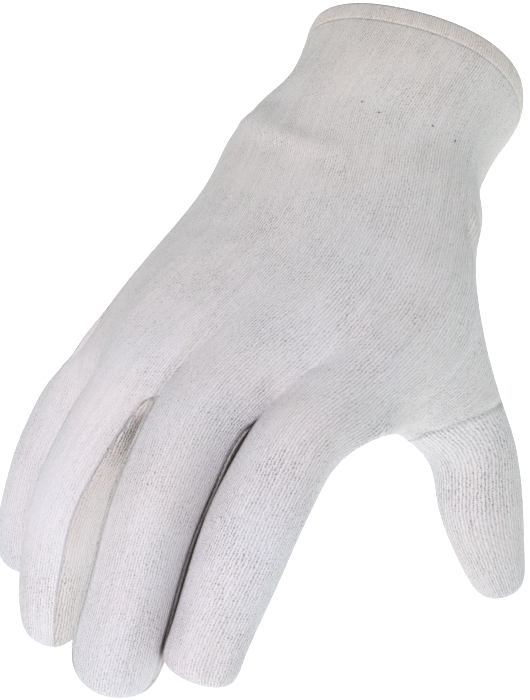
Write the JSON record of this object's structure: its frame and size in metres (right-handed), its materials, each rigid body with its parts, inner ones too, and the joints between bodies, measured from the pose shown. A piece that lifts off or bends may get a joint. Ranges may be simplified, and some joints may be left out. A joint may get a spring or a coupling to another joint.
{
  "type": "cotton knit work glove",
  "caption": "Right-hand cut and sewn cotton tricot glove with four fingers, side panels between them, a set-in thumb and a hemmed cuff, in its worn form.",
  "frame": {"origin": "centre of the cuff opening, where the wrist goes in", "axes": "+Z out of the back of the hand at the cuff, -Y from the cuff towards the fingertips, +X towards the thumb side"},
  "size_m": [0.1395, 0.2267, 0.1111],
  "materials": {
    "cotton_knit": "undyed bleached cotton tricot, fine vertical wales",
    "side_panel_knit": "undyed bleached cotton tricot, side panels between the fingers",
    "hem_knit": "undyed bleached cotton tricot, turned in twice at the cuff"
  },
  "bodies": {
    "root": {"hand_body": "cotton_knit", "thumb": "cotton_knit", "fourchette_index_middle": "side_panel_knit", "fourchette_middle_ring": "side_panel_knit", "fourchette_ring_little": "side_panel_knit", "cuff_hem": "hem_knit"}
  },
  "joints": []
}
